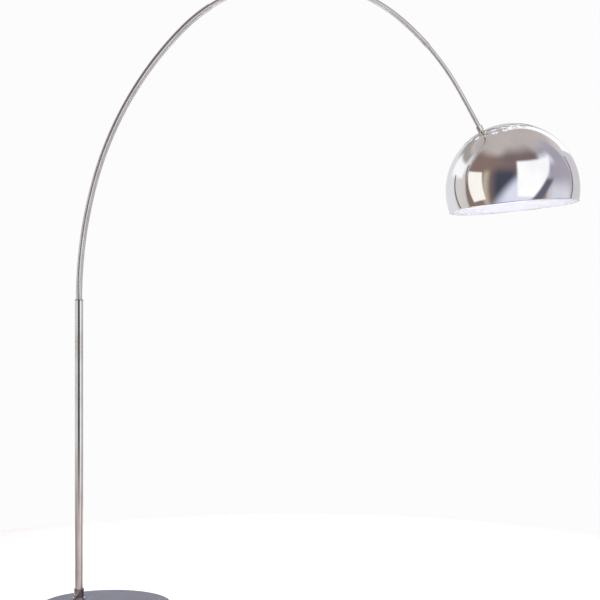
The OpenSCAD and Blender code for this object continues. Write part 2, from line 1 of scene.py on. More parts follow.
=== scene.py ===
"""Looks of an arc floor lamp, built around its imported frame.

Metres, +Z up. The pole stands on the -X side of the round foot, and the arc leans out along +X.
"""

import json
import logging
import math
from collections.abc import Callable, Sequence
from dataclasses import dataclass, field
from enum import Enum

import bmesh
import bpy
from mathutils import Matrix, Vector


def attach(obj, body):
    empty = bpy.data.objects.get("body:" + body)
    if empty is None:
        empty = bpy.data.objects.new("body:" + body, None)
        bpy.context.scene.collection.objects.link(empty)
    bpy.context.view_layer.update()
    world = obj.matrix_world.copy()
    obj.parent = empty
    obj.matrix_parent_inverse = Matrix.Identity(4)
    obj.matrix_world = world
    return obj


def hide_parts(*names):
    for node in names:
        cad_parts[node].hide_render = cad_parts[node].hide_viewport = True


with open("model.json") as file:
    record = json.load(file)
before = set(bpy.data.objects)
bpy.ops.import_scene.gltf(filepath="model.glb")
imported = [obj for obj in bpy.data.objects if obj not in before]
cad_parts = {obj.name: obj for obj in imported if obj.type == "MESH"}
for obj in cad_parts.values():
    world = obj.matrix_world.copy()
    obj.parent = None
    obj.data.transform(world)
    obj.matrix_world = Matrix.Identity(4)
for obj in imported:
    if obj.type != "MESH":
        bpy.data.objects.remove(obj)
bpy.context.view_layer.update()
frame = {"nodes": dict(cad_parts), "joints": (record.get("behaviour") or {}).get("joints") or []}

MM = 0.001
TURNED = "turned"  # point attribute: the place on a round piece as if its centreline were straight
NOISE_BAND = (0.3, 0.7)  # where nearly all of a noise's values lie
log = logging.getLogger("arc_lamp")

Inputs = dict[str | int, object]
PathAt = Callable[[float], Matrix]
Profile = Sequence[tuple[float, float]]


# ---------------------------------------------------------------- shared helpers


def linear(colour: str, alpha: float = 1.0) -> tuple[float, float, float, float]:
    """Turns an sRGB hex colour into linear light.

    Args:
        colour: six hex digits after a hash sign.
        alpha: the fourth value, kept as it is.

    Returns:
        Red, green, blue and alpha.
    """
    shares = [int(colour[i : i + 2], 16) / 255 for i in (1, 3, 5)]
    r, g, b = (s / 12.92 if s <= 0.04045 else ((s + 0.055) / 1.055) ** 2.4 for s in shares)
    return r, g, b, alpha


def add_node(
    tree: bpy.types.NodeTree, kind: str, inputs: Inputs | None = None, **settings: object
) -> bpy.types.Node:
    """Adds one node with its settings and its links.

    Args:
        tree: the tree that gets the node.
        kind: Blender's name for the node type.
        inputs: for each input, by name or number, the socket it is linked to or its own value.
        settings: the node's own properties.

    Returns:
        The new node.
    """
    node = tree.nodes.new(kind)
    for name, value in settings.items():
        setattr(node, name, value)
    for name, value in (inputs or {}).items():
        if isinstance(value, bpy.types.NodeSocket):
            tree.links.new(value, node.inputs[name])
        else:
            node.inputs[name].default_value = value
    return node


def span(
    value: bpy.types.NodeSocket, start: float, end: float, low: float = 0.0, high: float = 1.0
) -> Inputs:
    """Returns a range node's inputs: what it reads, from and to, and what that becomes."""
    return {"Value": value, "From Min": start, "From Max": end, "To Min": low, "To Max": high}


def around(
    tree: bpy.types.NodeTree, way: bpy.types.NodeSocket
) -> tuple[bpy.types.NodeSocket, bpy.types.NodeSocket]:
    """Adds a direction's turn around +Z, from the camera's side towards +X.

    Args:
        tree: the tree that gets the nodes.
        way: the direction.

    Returns:
        The turn in radians, and the direction's upward part.
    """
    part = add_node(tree, "ShaderNodeSeparateXYZ", {0: way}).outputs
    ahead = add_node(tree, "ShaderNodeMath", {0: part["Y"], 1: -1.0}, operation="MULTIPLY")
    turn = add_node(
        tree, "ShaderNodeMath", {0: part["X"], 1: ahead.outputs[0]}, operation="ARCTAN2"
    )
    return turn.outputs[0], part["Z"]


def joint_named(name: str) -> dict:
    """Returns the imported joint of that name."""
    return next(j for j in frame["joints"] if j["name"] == name)


# ---------------------------------------------------------------- finishes


class Place(Enum):
    """What a pattern is laid out on."""

    OBJECT = "object"
    TURNED = "turned"


class Grain(Enum):
    """How the marks of the last tool run over a metal piece: scale along its x, y and z."""

    ALONG = (1.0, 1.0, 0.012)
    ROUND = (0.03, 0.03, 1.0)
    TUMBLED = (1.0, 1.0, 1.0)


@dataclass(frozen=True)
class Finish:
    """A surface finish, which builds its own material.

    Attributes:
        name: the material's name, from what it is and how it was made.
    """

    name: str

    def material(self) -> bpy.types.Material:
        """Returns the material, built the first time it is asked for."""
        made = bpy.data.materials.get(self.name)
        if made is None:
            made = bpy.data.materials.new(self.name)
            made.use_nodes = True
            tree = made.node_tree
            tree.nodes.clear()
            shader = add_node(tree, "ShaderNodeBsdfPrincipled")
            add_node(tree, "ShaderNodeOutputMaterial", {"Surface": shader.outputs["BSDF"]})
            self.paint(tree, shader)
        return made

    def paint(self, tree: bpy.types.NodeTree, shader: bpy.types.Node) -> None:
        """Sets the shader's own sockets and links the pattern to it.

        Args:
            tree: the material's node tree.
            shader: its Principled shader.
        """
        raise NotImplementedError

    def place(
        self, tree: bpy.types.NodeTree, where: Place, scale: tuple[float, float, float]
    ) -> bpy.types.NodeSocket:
        """Adds the coordinates that a pattern is laid out on.

        Args:
            tree: the material's node tree.
            where: the object's own space, or the straightened space of a round piece.
            scale: how often the pattern repeats per metre along each axis.

        Returns:
            The scaled coordinates.
        """
        if where is Place.TURNED:
            source = add_node(tree, "ShaderNodeAttribute", attribute_name=TURNED).outputs["Vector"]
        else:
            source = add_node(tree, "ShaderNodeTexCoord").outputs["Object"]
        scaled = add_node(tree, "ShaderNodeMapping", {"Vector": source, "Scale": scale})
        return scaled.outputs["Vector"]


@dataclass(frozen=True)
class Metal(Finish):
    """A bare metal, ground, turned, spun, drawn or plated.

    Attributes:
        colour: reflected colour.
        worn: colour where the surface is slightly dulled.
        roughness: lowest roughness.
        spread: how far the roughness rises in the marks.
        grain: how the tool marks run.
        grain_mm: spacing of the marks.
        depth_mm: depth of the marks in the bump.
        where: what the marks are laid out on.
        dull_per_m: how often the cloudy dulling comes and goes per metre.
        dull_band: values of its noise between which it sets in.
        mark_share: weight of the marks against the dulling in the roughness.
        rough_band: values of their sum over which the roughness rises.
    """

    colour: str
    worn: str
    roughness: float
    spread: float
    grain: Grain
    grain_mm: float
    depth_mm: float = 0.002
    where: Place = Place.OBJECT
    dull_per_m: tuple[float, float, float] = (14.0, 14.0, 9.0)
    dull_band: tuple[float, float] = (0.35, 0.75)
    mark_share: float = 0.7
    rough_band: tuple[float, float] = (0.2, 1.4)

    def paint(self, tree: bpy.types.NodeTree, shader: bpy.types.Node) -> None:
        """Tool marks in the bump and the roughness, and faint cloudy dulling over them.

        Args:
            tree: the material's node tree.
            shader: its Principled shader.
        """
        repeat = 1 / (self.grain_mm * MM)
        marks_at = self.place(tree, self.where, tuple(repeat * s for s in self.grain.value))
        marks = add_node(
            tree,
            "ShaderNodeTexNoise",
            {"Vector": marks_at, "Scale": 1.0, "Detail": 3.0, "Roughness": 0.6},
        )
        clouds_at = self.place(tree, self.where, self.dull_per_m)
        clouds = add_node(
            tree,
            "ShaderNodeTexNoise",
            {"Vector": clouds_at, "Scale": 1.0, "Detail": 4.0, "Roughness": 0.55},
        )
        wear = add_node(
            tree,
            "ShaderNodeMapRange",
            span(clouds.outputs["Fac"], *self.dull_band),
            interpolation_type="SMOOTHSTEP",
        )
        tint = add_node(
            tree,
            "ShaderNodeMix",
            {0: wear.outputs["Result"], 6: linear(self.colour), 7: linear(self.worn)},
            data_type="RGBA",
        )
        both = add_node(
            tree,
            "ShaderNodeMath",
            {0: marks.outputs["Fac"], 1: self.mark_share, 2: wear.outputs["Result"]},
            operation="MULTIPLY_ADD",
        )
        highest = self.roughness + self.spread
        rough = add_node(
            tree,
            "ShaderNodeMapRange",
            span(both.outputs["Value"], *self.rough_band, self.roughness, highest),
        )
        bump = add_node(
            tree,
            "ShaderNodeBump",
            {"Height": marks.outputs["Fac"], "Strength": 1.0, "Distance": self.depth_mm * MM},
        )
        shader.inputs["Metallic"].default_value = 1.0
        tree.links.new(tint.outputs[2], shader.inputs["Base Color"])
        tree.links.new(rough.outputs["Result"], shader.inputs["Roughness"])
        tree.links.new(bump.outputs["Normal"], shader.inputs["Normal"])


@dataclass(frozen=True)
class Stone(Finish):
    """A dense dark stone, honed and then polished.

    Attributes:
        ground: colour of the ground mass.
        light_grain: colour of the lighter grains.
        vein: colour of the thin veins.
        grain_mm: size of the grains.
        vein_mm: spacing of the veins.
        roughness: lowest roughness of the polish.
        spread: how far the roughness rises.
        vein_width: how near to the middle of its noise a vein starts to show.
        vein_share: how much of the vein's colour shows in its middle.
        pit_mm: depth of the pits between the grains.
        specular: how strongly the polish reflects, where half is plain for its IOR.
    """

    ground: str
    light_grain: str
    vein: str
    grain_mm: float
    vein_mm: float
    roughness: float
    spread: float = 0.08
    vein_width: float = 0.012
    vein_share: float = 0.5
    pit_mm: float = 0.004
    specular: float = 0.36

    def paint(self, tree: bpy.types.NodeTree, shader: bpy.types.Node) -> None:
        """Fine grains, a few thin veins and small pits that the polish has left.

        Args:
            tree: the material's node tree.
            shader: its Principled shader.
        """
        fine = 1 / (self.grain_mm * MM)
        wide = 1 / (self.vein_mm * MM)
        grains = add_node(
            tree,
            "ShaderNodeTexVoronoi",
            {"Vector": self.place(tree, Place.OBJECT, (fine,) * 3), "Scale": 1.0},
        )
        clouds = add_node(
            tree,
            "ShaderNodeTexNoise",
            {
                "Vector": self.place(tree, Place.OBJECT, (wide, wide * 0.5, wide)),
                "Scale": 1.0,
                "Detail": 8.0,
                "Roughness": 0.6,
                "Distortion": 0.8,
            },
        )
        mottle = add_node(
            tree,
            "ShaderNodeMix",
            {0: grains.outputs["Color"], 6: linear(self.ground), 7: linear(self.light_grain)},
            data_type="RGBA",
        )
        ridge = add_node(
            tree, "ShaderNodeMath", {0: clouds.outputs["Fac"], 1: 0.5}, operation="SUBTRACT"
        )
        thin = add_node(tree, "ShaderNodeMath", {0: ridge.outputs["Value"]}, operation="ABSOLUTE")
        veins = add_node(
            tree,
            "ShaderNodeMapRange",
            span(thin.outputs["Value"], 0.0, self.vein_width, self.vein_share, 0.0),
            interpolation_type="SMOOTHSTEP",
        )
        colour = add_node(
            tree,
            "ShaderNodeMix",
            {0: veins.outputs["Result"], 6: mottle.outputs[2], 7: linear(self.vein)},
            data_type="RGBA",
        )
        highest = self.roughness + self.spread
        rough = add_node(
            tree,
            "ShaderNodeMapRange",
            span(clouds.outputs["Fac"], *NOISE_BAND, self.roughness, highest),
        )
        bump = add_node(
            tree,
            "ShaderNodeBump",
            {"Height": grains.outputs["Distance"], "Strength": 0.5, "Distance": self.pit_mm * MM},
        )
        shader.inputs["IOR"].default_value = 1.5
        shader.inputs["Specular IOR Level"].default_value = self.specular
        tree.links.new(colour.outputs[2], shader.inputs["Base Color"])
        tree.links.new(rough.outputs["Result"], shader.inputs["Roughness"])
        tree.links.new(bump.outputs["Normal"], shader.inputs["Normal"])


@dataclass(frozen=True)
class Moulded(Finish):
    """A moulded, pressed or fired piece of one even colour: polymer, rubber or ceramic.

    Attributes:
        colour: main colour.
        shade: colour in the low spots of the mottle.
        roughness: lowest roughness.
        texture_mm: size of the mould's fine texture.
        depth_mm: depth of that texture.
        coat: share of a clear glossy skin, as on enamel.
        spread: how far the roughness rises.
        mottle_per_m: how often the mottle comes and goes per metre.
    """

    colour: str
    shade: str
    roughness: float
    texture_mm: float
    depth_mm: float
    coat: float = 0.0
    spread: float = 0.06
    mottle_per_m: float = 45.0

    def paint(self, tree: bpy.types.NodeTree, shader: bpy.types.Node) -> None:
        """A fine mould texture in the bump, and a faint mottle in colour and roughness.

        Args:
            tree: the material's node tree.
            shader: its Principled shader.
        """
        fine, wide = 1 / (self.texture_mm * MM), self.mottle_per_m
        texture = add_node(
            tree,
            "ShaderNodeTexNoise",
            {"Vector": self.place(tree, Place.OBJECT, (fine,) * 3), "Scale": 1.0, "Detail": 2.0},
        )
        mottle = add_node(
            tree,
            "ShaderNodeTexNoise",
            {"Vector": self.place(tree, Place.OBJECT, (wide,) * 3), "Scale": 1.0, "Detail": 4.0},
        )
        tint = add_node(
            tree,
            "ShaderNodeMix",
            {0: mottle.outputs["Fac"], 6: linear(self.colour), 7: linear(self.shade)},
            data_type="RGBA",
        )
        highest = self.roughness + self.spread
        rough = add_node(
            tree,
            "ShaderNodeMapRange",
            span(mottle.outputs["Fac"], *NOISE_BAND, self.roughness, highest),
        )
        bump = add_node(
            tree,
            "ShaderNodeBump",
            {"Height": texture.outputs["Fac"], "Strength": 0.6, "Distance": self.depth_mm * MM},
        )
        shader.inputs["IOR"].default_value = 1.5
        shader.inputs["Coat Weight"].default_value = self.coat
        shader.inputs["Coat Roughness"].default_value = 0.04
        tree.links.new(tint.outputs[2], shader.inputs["Base Color"])
        tree.links.new(rough.outputs["Result"], shader.inputs["Roughness"])
        tree.links.new(bump.outputs["Normal"], shader.inputs["Normal"])


@dataclass(frozen=True)
class Felt(Finish):
    """Pressed wool felt.

    Attributes:
        colour: colour of the fibres that stand out.
        shade: colour between them.
        fibre_mm: spacing of the matted fibres, drawn coarser than they are so that they show.
        nap_mm: how far they stand out.
    """

    colour: str
    shade: str
    fibre_mm: float
    nap_mm: float = 0.3

    def paint(self, tree: bpy.types.NodeTree, shader: bpy.types.Node) -> None:
        """Matted fibres in colour and bump, and the soft sheen of wool.

        Args:
            tree: the material's node tree.
            shader: its Principled shader.
        """
        fine = 1 / (self.fibre_mm * MM)
        fibres = add_node(
            tree,
            "ShaderNodeTexNoise",
            {
                "Vector": self.place(tree, Place.OBJECT, (fine, fine * 0.3, fine)),
                "Scale": 1.0,
                "Detail": 6.0,
                "Distortion": 2.5,
            },
        )
        tint = add_node(
            tree,
            "ShaderNodeMix",
            {0: fibres.outputs["Fac"], 6: linear(self.shade), 7: linear(self.colour)},
            data_type="RGBA",
        )
        bump = add_node(
            tree,
            "ShaderNodeBump",
            {"Height": fibres.outputs["Fac"], "Strength": 1.0, "Distance": self.nap_mm * MM},
        )
        shader.inputs["Roughness"].default_value = 0.95
        shader.inputs["Sheen Weight"].default_value = 0.4
        tree.links.new(tint.outputs[2], shader.inputs["Base Color"])
        tree.links.new(bump.outputs["Normal"], shader.inputs["Normal"])


@dataclass(frozen=True)
class OpalGlass(Finish):
    """Glass with a white skin fired on its inside.

    Attributes:
        colour: colour of the white skin.
        cloud: colour of the clouds in it.
        glow: strength of a faint painted glow that stands in for the room's light falling on the
            glass.
    """

    colour: str
    cloud: str
    glow: float

    def paint(self, tree: bpy.types.NodeTree, shader: bpy.types.Node) -> None:
        """A smooth clear surface over a milky body with faint clouds, and a faint painted glow.

        Args:
            tree: the material's node tree.
            shader: its Principled shader.
        """
        clouds = add_node(
            tree,
            "ShaderNodeTexNoise",
            {"Vector": self.place(tree, Place.OBJECT, (60.0,) * 3), "Scale": 1.0, "Detail": 3.0},
        )
        tint = add_node(
            tree,
            "ShaderNodeMix",
            {0: clouds.outputs["Fac"], 6: linear(self.colour), 7: linear(self.cloud)},
            data_type="RGBA",
        )
        shader.inputs["IOR"].default_value = 1.5
        shader.inputs["Roughness"].default_value = 0.08
        shader.inputs["Coat Weight"].default_value = 0.5
        # Painted light: the glass glows faintly in its own colour, standing in for the room's light
        # on it.
        shader.inputs["Emission Color"].default_value = linear(self.colour)
        shader.inputs["Emission Strength"].default_value = self.glow
        tree.links.new(tint.outputs[2], shader.inputs["Base Color"])


# Stainless tube, ground lengthwise: fine streaks along the tube that soften what it reflects.
GROUND_STEEL = Metal("stainless_steel_ground", "#d6d4d2", "#c2bebb", 0.12, 0.08, Grain.ALONG, 0.5)
GROUND_TUBE = Metal(
    "stainless_tube_ground", "#dad8d7", "#c6c3c1", 0.27, 0.08, Grain.ALONG, 0.5, where=Place.TURNED
)
# Plated and buffed brass or steel: a clean mirror with the faintest turning marks.
BRIGHT_PLATE = Metal(
    "nickel_plated_turned", "#e4e1de", "#cfcac6", 0.06, 0.06, Grain.ROUND, 0.4, 0.001
)
# Black nickel over turned brass: the same mirror, but dark.
BLACK_NICKEL = Metal(
    "black_nickel_plated_turned", "#96908e", "#827b7a", 0.1, 0.08, Grain.ROUND, 0.4, 0.001
)
# Aluminium spun over a former and polished: faint rings around the dome in a near mirror.
SPUN_ALUMINIUM = Metal(
    "aluminium_spun_polished", "#f3f3f4", "#e9e9eb", 0.045, 0.035, Grain.ROUND, 0.9,
    depth_mm=0.0006, where=Place.TURNED,
)
# The same sheet where a drill has cut it: dull and dark beside the mirror.
DRILLED_ALUMINIUM = Metal(
    "aluminium_drilled_edge", "#8a8684", "#75716f", 0.35, 0.15, Grain.TUMBLED, 0.5, 0.004
)
# Zinc-plated steel as rolled or cold headed: dull, slightly blue and speckled.
ZINC_STEEL = Metal("zinc_plated_steel", "#a9aeb2", "#8b9094", 0.32, 0.15, Grain.TUMBLED, 0.6, 0.004)
# Free-cutting brass, turned and left bare: yellow, with fine rings.
TURNED_BRASS = Metal("brass_turned", "#d2b061", "#b08f49", 0.2, 0.12, Grain.ROUND, 0.35, 0.003)
# Dark granite, honed and polished: violet-black, with small grains and a few thin veins.
HONED_STONE = Stone("granite_polished", "#2a2740", "#38354f", "#5a5775", 1.6, 120.0, 0.16)
# Pressed felt under the foot: grey, matt and hairy.
WOOL_FELT = Felt("wool_felt_pressed", "#4a4a50", "#26262a", 0.8)
# Moulded rubber and plastics: even colours, from the matt rubber to the holder's shiny thermoset.
BLACK_RUBBER = Moulded("rubber_moulded", "#232325", "#1b1b1d", 0.5, 0.4, 0.01)
BLACK_NYLON = Moulded("nylon_black_moulded", "#2b2b2d", "#202022", 0.38, 0.3, 0.006)
WHITE_NYLON = Moulded("nylon_natural_moulded", "#e6e2d6", "#dcd7c9", 0.4, 0.3, 0.006)
WHITE_THERMOSET = Moulded("thermoset_white_moulded", "#eceae3", "#e2dfd6", 0.18, 0.5, 0.003, 0.3)
BROWN_PVC = Moulded("pvc_core_extruded", "#6b4630", "#5c3a27", 0.35, 0.3, 0.003)
# Unglazed porcelain: off-white, dry and matt.
PORCELAIN = Moulded("porcelain_unglazed", "#efece2", "#e5e0d3", 0.55, 0.25, 0.01)
# White stove enamel inside the dome: smooth, thick and glossy over a faint orange-peel ripple.
WHITE_ENAMEL = Moulded("enamel_white_stoved", "#f5f6fa", "#eff0f6", 0.25, 3.0, 0.02, 0.5)
# Blown glass with a white skin inside: a clear gloss over milk, with a faint painted glow for the
# room's light on it.
OPAL_GLASS = OpalGlass("glass_opal_blown", "#fbf9f2", "#f3f0e6", 0.25)
# Emulsion paint rolled onto a smooth screed: matt, and nearly white.
FLOOR_PAINT = Moulded("floor_painted", "#fdfdfd", "#fbfbfb", 0.7, 8.0, 0.02)


# ---------------------------------------------------------------- mesh helpers


def revolve(name: str, profile: Profile, at: PathAt, segments: int) -> bpy.types.Object:
    """Turns a closed outline around a centreline, which may bend, into a closed mesh.

    Args:
        name: the piece's name.
        profile: the outline as pairs of distance along the centreline and radius, in order.
        at: gives the centreline's frame at a distance, with +Z along it.
        segments: how many steps go once around.

    Returns:
        The piece, linked to the scene, with its straightened places in an attribute.
    """
    mesh = bmesh.new()
    place = mesh.verts.layers.float_vector.new(TURNED)
    rings = []
    for along, radius in profile:
        here = at(along)
        ring = []
        for k in range(segments if radius > 0 else 1):
            turn = 2 * math.pi * k / segments
            flat = Vector((radius * math.cos(turn), radius * math.sin(turn), 0))
            vertex = mesh.verts.new(here @ flat)
            vertex[place] = Vector((flat.x, flat.y, along))
            ring.append(vertex)
        rings.append(ring)
    for low, high in zip(rings, rings[1:] + rings[:1]):
        for k in range(segments):
            corners = [low[k % len(low)], low[(k + 1) % len(low)]]
            corners += [high[(k + 1) % len(high)], high[k % len(high)]]
            distinct = list(dict.fromkeys(corners))
            if len(distinct) > 2:
                mesh.faces.new(distinct)
    bmesh.ops.recalc_face_normals(mesh, faces=mesh.faces)
    data = bpy.data.meshes.new(name)
    mesh.to_mesh(data)
    mesh.free()
    data.shade_smooth()
    piece = bpy.data.objects.new(name, data)
    bpy.context.scene.collection.objects.link(piece)
    return piece


def arc_points(
    centre: tuple[float, float], radius: float, start: float, end: float, steps: int
) -> list[tuple[float, float]]:
    """Points on a circle in an outline's plane.

    Args:
        centre: the circle's middle, as distance along and radius.
        radius: the circle's radius.
        start: first angle in degrees, where 0 points away from the centreline and 90 along it.
        end: last angle in degrees.
        steps: how many stretches the points make.

    Returns:
        The points, the first and the last included.
    """
    angles = [math.radians(start + (end - start) * k / steps) for k in range(steps + 1)]
    return [(centre[0] + radius * math.sin(a), centre[1] + radius * math.cos(a)) for a in angles]


def cut(piece: bpy.types.Object, cutters: Sequence[bpy.types.Object]) -> None:
    """Cuts the cutters out of the piece and removes them.

    Args:
        piece: the piece that is cut.
        cutters: closed meshes that don't touch each other.
    """
    for cutter in cutters:
        hole = piece.modifiers.new(cutter.name, "BOOLEAN")
        hole.operation = "DIFFERENCE"
        hole.solver = "EXACT"
        hole.object = cutter
    graph = bpy.context.evaluated_depsgraph_get()
    made = bpy.data.meshes.new_from_object(piece.evaluated_get(graph), depsgraph=graph)
    piece.modifiers.clear()
    piece.data = made
    for cutter in cutters:
        bpy.data.objects.remove(cutter)


def dress(finish: Finish, *nodes: str) -> None:
    """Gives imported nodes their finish.

    Args:
        finish: the finish.
        nodes: the nodes' names.
    """
    for name in nodes:
        for slot in frame["nodes"][name].material_slots:
            slot.material = finish.material()
    log.info("dressed %s as %s", ", ".join(nodes), finish.name)


def settle(piece: bpy.types.Object, body: str, slot: str, *nodes: str) -> None:
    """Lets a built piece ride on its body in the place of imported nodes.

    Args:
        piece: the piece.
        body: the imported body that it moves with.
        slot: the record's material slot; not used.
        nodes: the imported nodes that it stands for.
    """
    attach(piece, body)
    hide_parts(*nodes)
    log.info("built %s on %s for %s", piece.name, body, ", ".join(nodes))


# ---------------------------------------------------------------- foot and pole


@dataclass
class Foot:
    """The stone disc with its felt, its clamp bolt and the fittings at the pole's foot."""

    radius: float = 200 * MM
    bottom: float = 2 * MM
    top: float = 42 * MM
    edge_r: float = 3 * MM
    under_edge_r: float = 1 * MM
    flat_shares: tuple[float, ...] = (0.9, 0.6, 0.3)
    segments: int = 256

    def build(self) -> bpy.types.Object:
        """Builds the disc with its rounded edges.

        Returns:
            The disc.
        """
        edge, under_edge = self.edge_r, self.under_edge_r
        rounded = arc_points((self.top - edge, self.radius - edge), edge, 90, 0, 10)
        under_middle = (self.bottom + under_edge, self.radius - under_edge)
        under = arc_points(under_middle, under_edge, 0, -90, 4)
        flat_radii = [self.radius * share for share in self.flat_shares]
        profile = [(self.top, 0.0)]
        profile += [(self.top, r) for r in reversed(flat_radii)] + rounded + under
        profile += [(self.bottom, r) for r in flat_radii] + [(self.bottom, 0.0)]
        return revolve(
            "stone_disc", profile, lambda s: Matrix.Translation((0, 0, s)), self.segments
        )

    def dress(self) -> None:
        """Builds the disc and gives every piece of the foot its finish."""
        disc = self.build()
        disc.data.materials.append(HONED_STONE.material())
        settle(disc, "base", "honed_stone", "base_disc")
        dress(WOOL_FELT, "base_felt")
        dress(GROUND_STEEL, "foot_flange")
        dress(BLACK_NICKEL, "foot_collar")
        dress(ZINC_STEEL, "base_bolt", "base_washer", "spring_washer")
        dress(ZINC_STEEL, "collar_grub_screw", "pole_plug")


@dataclass
class Pole:
    """The two pole tubes with the pieces in their seam and in the swivel."""

    def dress(self) -> None:
        """Gives every piece of the pole its finish."""
        dress(GROUND_STEEL, "lower_pole", "upper_pole")
        dress(BLACK_RUBBER, "lead_inlet_bush", "pole_lead")
        dress(ZINC_STEEL, "seam_spigot", "button_spring_ring", "button_leaf", "swivel_grub_screw")
        dress(BRIGHT_PLATE, "spigot_rivet", "snap_button")
        dress(TURNED_BRASS, "swivel_stop_ring")
        dress(WHITE_NYLON, "lower_guide_bush")
        dress(BLACK_NYLON, "top_guide_bush")


# ---------------------------------------------------------------- arc


@dataclass(frozen=True)
class Bend:
    """One bend of the arc: its radius in metres and its turn in degrees."""

    radius: float
    turn: float

    @property
    def length(self) -> float:
        """Length of the bend along its centreline."""
        return self.radius * math.radians(self.turn)


@dataclass
class ArcLine:
    """The arc's centreline: a straight shank, then bends that each start where the last ends."""

    start: Vector
    bends: Sequence[Bend]

    def frame_at(self, along: float) -> Matrix:
        """The centreline's frame at a distance from the first bend.

        Args:
            along: the distance, negative on the shank.

        Returns:
            The frame, with +Z along the centreline and +Y across the arc.
        """
        here = Matrix.Translation(self.start)
        left = along
        if along <= 0:
            return here @ Matrix.Translation((0, 0, along))
        for bend in self.bends:
            share = min(left, bend.length)
            swing = Matrix.Rotation(share / bend.radius, 4, "Y")
            pivot = Matrix.Translation((bend.radius, 0, 0))
            here = here @ pivot @ swing @ pivot.inverted()
            left -= share
            if left <= 0:
                break
        return here

    def distance_at(self, turn: float) -> float:
        """Distance from the first bend to where the arc has turned so far.

        Args:
            turn: the turn in degrees.

        Returns:
            The distance along the centreline.
        """
        along, left = 0.0, turn
        for bend in self.bends:
            share = min(left, bend.turn)
            along += bend.length * share / bend.turn
            left -= share
        return along


@dataclass
class Arc:
    """The three plugged tubes of the arc, and the pieces inside them."""

    shank_bottom: float = 893.3 * MM
    start_height: float = 972 * MM
    outer: tuple[float, ...] = (19 * MM, 16 * MM, 13 * MM)
    wall: float = 1.2 * MM
    plug: float = 40 * MM
    joint_turns: tuple[float, float] = (57.3, 138.8)
    bends: tuple[Bend, ...] = (
        Bend(1.364, 15.2),
        Bend(1.059, 29.6),
        Bend(0.488, 85.5),
        Bend(0.796, 21.0),
        Bend(9.0, 0.8),
    )
    lip: float = 0.4 * MM
    step: float = 6 * MM
    sharp_angle: float = 35.0
    segments: int = 64

    def line(self) -> ArcLine:
        """Returns the arc's centreline."""
        pole = joint_named("arc_swivel")["pos_m"]
        return ArcLine(Vector((pole[0], pole[1], self.start_height)), self.bends)

    def tube(self, name: str, start: float, end: float, outer: float) -> bpy.types.Object:
        """Builds one tube with rounded mouths.

        Args:
            name: the piece's name.
            start: where it starts along the centreline.
            end: where it ends.
            outer: its outer diameter.

        Returns:
            The tube.
        """
        r, bore = outer / 2, outer / 2 - self.wall
        count = max(2, round((end - start) / self.step))
        run = end - start - 2 * self.lip
        inside = [start + self.lip + run * k / count for k in range(1, count)]
        profile = arc_points((start + self.lip, r - self.lip), self.lip, -90, 0, 4)
        profile += [(s, r) for s in inside]
        profile += arc_points((end - self.lip, r - self.lip), self.lip, 0, 90, 4)
        profile += [(end, bore)] + [(s, bore) for s in reversed(inside)] + [(start, bore)]
        piece = revolve(name, profile, self.line().frame_at, self.segments)
        piece.data.set_sharp_from_angle(angle=math.radians(self.sharp_angle))
        piece.data.materials.append(GROUND_TUBE.material())
        return piece

    def build(self) -> None:
        """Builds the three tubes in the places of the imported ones."""
        line = self.line()
        first, second = (line.distance_at(t) for t in self.joint_turns)
        end = line.distance_at(sum(b.turn for b in self.bends))
        low = self.shank_bottom - self.start_height
        for name, start, stop, outer, node in (
            ("arc_tube_lower", low, first, self.outer[0], "arc_lower_tube"),
            ("arc_tube_middle", first - self.plug, second, self.outer[1], "arc_middle_tube"),
            ("arc_tube_end", second - self.plug, end, self.outer[2], "arc_end_tube"),
        ):
            settle(self.tube(name, start, stop, outer), "arc", "brushed_steel", node)

    def dress(self) -> None:
        """Builds the tubes and gives the pieces inside them their finish."""
        self.build()
        dress(ZINC_STEEL, "swivel_stop_pin", "arc_joint_screws")
        dress(BLACK_RUBBER, "arc_lead")


# ---------------------------------------------------------------- swivel, holder and bulb


@dataclass
class LampEnd:
    """The swivel fittings on the arc's end, the lamp holder and the bulb."""

    def dress(self) -> None:
        """Gives every piece at the arc's end its finish."""
        dress(BRIGHT_PLATE, "end_ferrule")
        dress(ZINC_STEEL, "ferrule_grub_screw", "bulb_cap", "bulb_tip_contact")
        dress(WHITE_NYLON, "outer_swivel_washer", "inner_swivel_washer")
        dress(TURNED_BRASS, "threaded_nipple", "nipple_nut", "screw_shell", "centre_contact")
        dress(WHITE_THERMOSET, "holder_cap", "holder_skirt")
        dress(PORCELAIN, "holder_insert")
        dress(BROWN_PVC, "holder_cores")
        dress(OPAL_GLASS, "bulb_glass")


# ---------------------------------------------------------------- shade


class Skin(Enum):
    """The dome's two faces and its cut edges, in the order of its material slots."""

    OUTSIDE = 0
    INSIDE = 1
    CUT_EDGE = 2


@dataclass(frozen=True)
class VentRing:
    """One ring of round vents: how many, and its angle from the middle of the vents."""

    count: int
    angle: float


